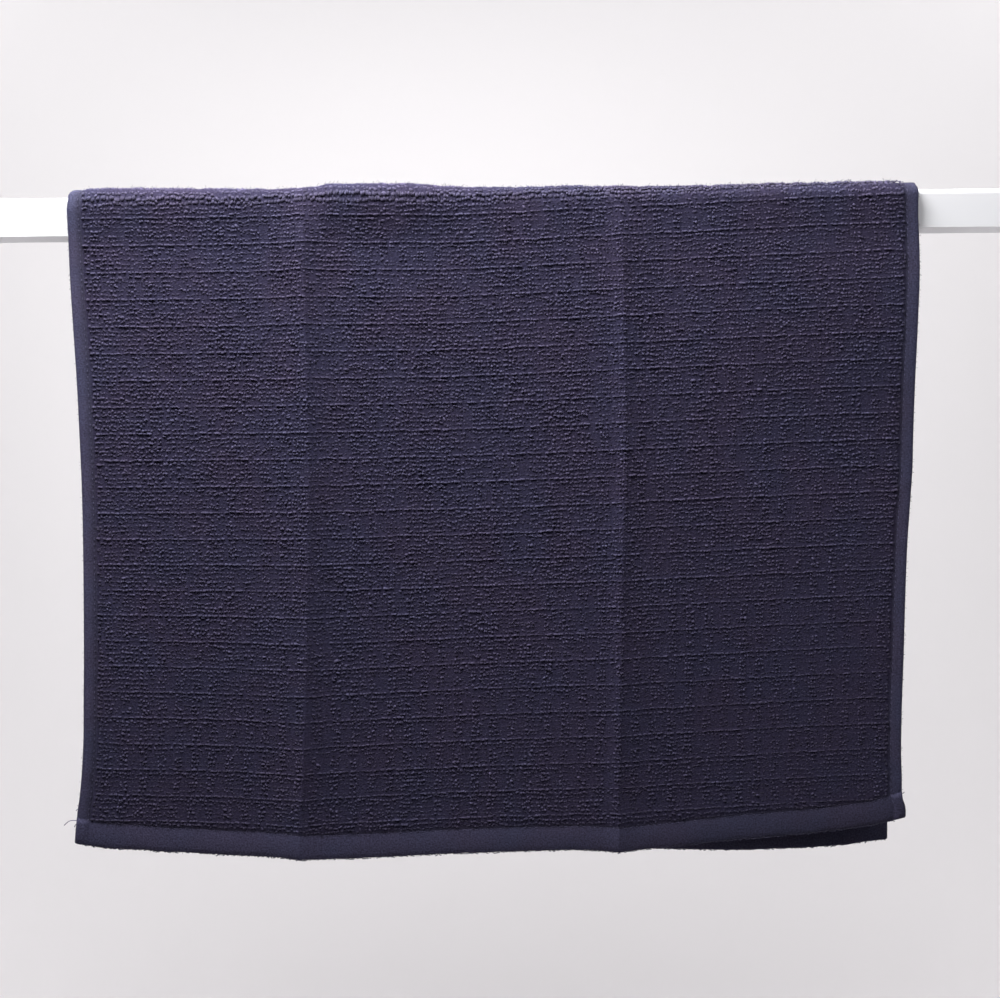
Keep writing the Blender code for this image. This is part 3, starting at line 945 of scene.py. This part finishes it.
# The end hems' folded edges are rough: short tufts of thread lie along them and stand out a little.
TUFT_PITCH = 1.25
rows = []
for side, forward in (("front", 1), ("back", -1)):
    at = np.arange(0.8, TOWEL_WIDTH - 0.8, TUFT_PITCH)
    at = at + draw.uniform(-0.35, 0.35, len(at))
    reach = np.array([-0.5, 0.0, 0.5]) * draw.uniform(0.9, 1.8, (len(at), 1))
    out = draw.uniform(-0.25, 0.5, (len(at), 1)) + draw.normal(0, 0.4, (len(at), 1)) * reach
    tuft_across = at[:, None] + reach
    tuft_along = forward * (hem_end(at, side)[:, None] + out + np.array([-0.25, 0.0, -0.25]))
    rows.append((tuft_across, tuft_along, 1.2 + draw.uniform(-0.5, 0.5, (len(at), 1)) + 0 * reach))
tufts = build_strands(
    "hem_edge_tufts", *[np.concatenate([a, b]) for a, b in zip(*rows)], 0.3, cotton_fibre
)

# The thread ends at the lower front corners: how far each lies outside the selvedge and above
# the hem's end, point by point along the thread.
LooseEnd = namedtuple("LooseEnd", "right outside above")
LOOSE_ENDS = [
    LooseEnd(False, (-0.9, 0.6, 1.9, 3.3, 4.6, 5.6, 6.6), (12.3, 12.4, 12.5, 12.4, 11.8, 10.9, 9.8)),
    LooseEnd(False, (-0.6, -0.2, 0.1, 0.4, 0.6, 0.7, 0.7), (18.4, 18.5, 18.5, 18.4, 18.2, 18.0, 17.7)),
    LooseEnd(False, (-0.6, -0.1, 0.2, 0.5, 0.8, 0.9, 0.9), (10.6, 10.5, 10.3, 10.1, 9.7, 9.3, 8.8)),
    LooseEnd(True, (-0.6, -0.1, 0.2, 0.6, 0.9, 1.2, 1.3), (12.6, 12.7, 12.9, 13.1, 13.3, 13.4, 13.8)),
]
outside = np.array([end.outside for end in LOOSE_ENDS])
right = np.array([[end.right] for end in LOOSE_ENDS])
end_across = np.where(right, TOWEL_WIDTH + outside, -outside)
above = np.array([end.above for end in LOOSE_ENDS]) - CORNER_ROUNDING
end_along = hem_end(np.where(right, TOWEL_WIDTH, 0.0), "front") - above
loose_ends = build_strands(
    "loose_thread_ends", end_across, end_along, np.full(outside.shape, 1.1), 0.24, spun_thread
)
for piece in (stitches, fluff, tufts, loose_ends):
    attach(piece, "root")
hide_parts("towel")


# The studio: a pale floor that curves up into a plain backdrop, lit softly from the upper left.
# None of it belongs to the towel or the rail.
FLOOR_DEPTH = 1350.0
BACKDROP_AT = 900.0
CURVE = 450.0
profile = [(-3000.0, -FLOOR_DEPTH), (BACKDROP_AT - CURVE, -FLOOR_DEPTH)]
profile += [
    (BACKDROP_AT - CURVE + CURVE * np.sin(a), -FLOOR_DEPTH + CURVE * (1 - np.cos(a)))
    for a in np.linspace(0, pi / 2, 25)[1:]
]
profile += [(BACKDROP_AT, 2400.0)]
points = [(x * MM, y * MM, z * MM) for y, z in profile for x in (-3500.0, 4100.0)]
faces = [(2 * i, 2 * i + 1, 2 * i + 3, 2 * i + 2) for i in range(len(profile) - 1)]
floor_mesh = bpy.data.meshes.new("studio_floor")
floor_mesh.from_pydata(points, [], faces)
floor_mesh.shade_smooth()
studio_floor = bpy.data.objects.new("studio_floor", floor_mesh)
bpy.context.scene.collection.objects.link(studio_floor)
matt_paper, tree, shader = new_material("matt backdrop paper")
shader.inputs["Base Color"].default_value = linear("#EAE7E9")
shader.inputs["Roughness"].default_value = 0.9
floor_mesh.materials.append(matt_paper)


def add_soft_light(name, place_mm, aim_mm, size, power, colour):
    lamp = bpy.data.lights.new(name, "AREA")
    lamp.shape = "DISK"
    lamp.size = size
    lamp.energy = power
    lamp.color = linear(colour)[:3]
    made = bpy.data.objects.new(name, lamp)
    bpy.context.scene.collection.objects.link(made)
    away = Vector(place_mm) - Vector(aim_mm)
    made.rotation_euler = away.to_track_quat("Z", "Y").to_euler()
    made.location = [at * MM for at in place_mm]
    return made


add_soft_light("key_light", (70, -210, 480), (220, 0, -150), 0.5, 14.4, "#FFFFFF")
add_soft_light("right_light", (700, -300, 600), (420, 0, 0), 0.6, 4.2, "#FFFFFF")
add_soft_light("overhead_light", (1100, 0, 2300), (600, 900, 0), 3.0, 6, "#FFFFFF")
add_soft_light("wall_light_left", (-900, 500, 1150), (-380, 900, 500), 0.6, 13.5, "#FFFFFF")
add_soft_light("wall_light_right", (1500, 500, 1150), (980, 900, 500), 0.6, 12.0, "#FFFFFF")
add_soft_light("low_light_left", (-750, 300, -900), (-350, 900, -500), 1.0, 2.5, "#FFFFFF")
add_soft_light("low_light_right", (1350, 300, -900), (950, 900, -500), 1.0, 2.45, "#FFFFFF")
world = bpy.data.worlds.new("soft room")
world.use_nodes = True
world.node_tree.nodes["Background"].inputs["Color"].default_value = linear("#F4F3F8")
world.node_tree.nodes["Background"].inputs["Strength"].default_value = 0.02
bpy.context.scene.world = world
bpy.context.scene.view_settings.view_transform = "Standard"

# The camera stands in front, a little below the rail, tipped down by three degrees.
camera = bpy.data.objects.new("camera", bpy.data.cameras.new("camera"))
bpy.context.scene.collection.objects.link(camera)
camera.data.sensor_width = 36.0
camera.data.lens = 36.0 * 1072 / 1000
camera.data.clip_start = 0.01
camera.matrix_world = (
    Matrix.Translation((0.300, -0.5879, -0.1197))
    @ Matrix.Rotation(radians(86.7), 4, "X")
    @ Matrix.Rotation(radians(-0.59), 4, "Z")
)
bpy.context.scene.camera = camera
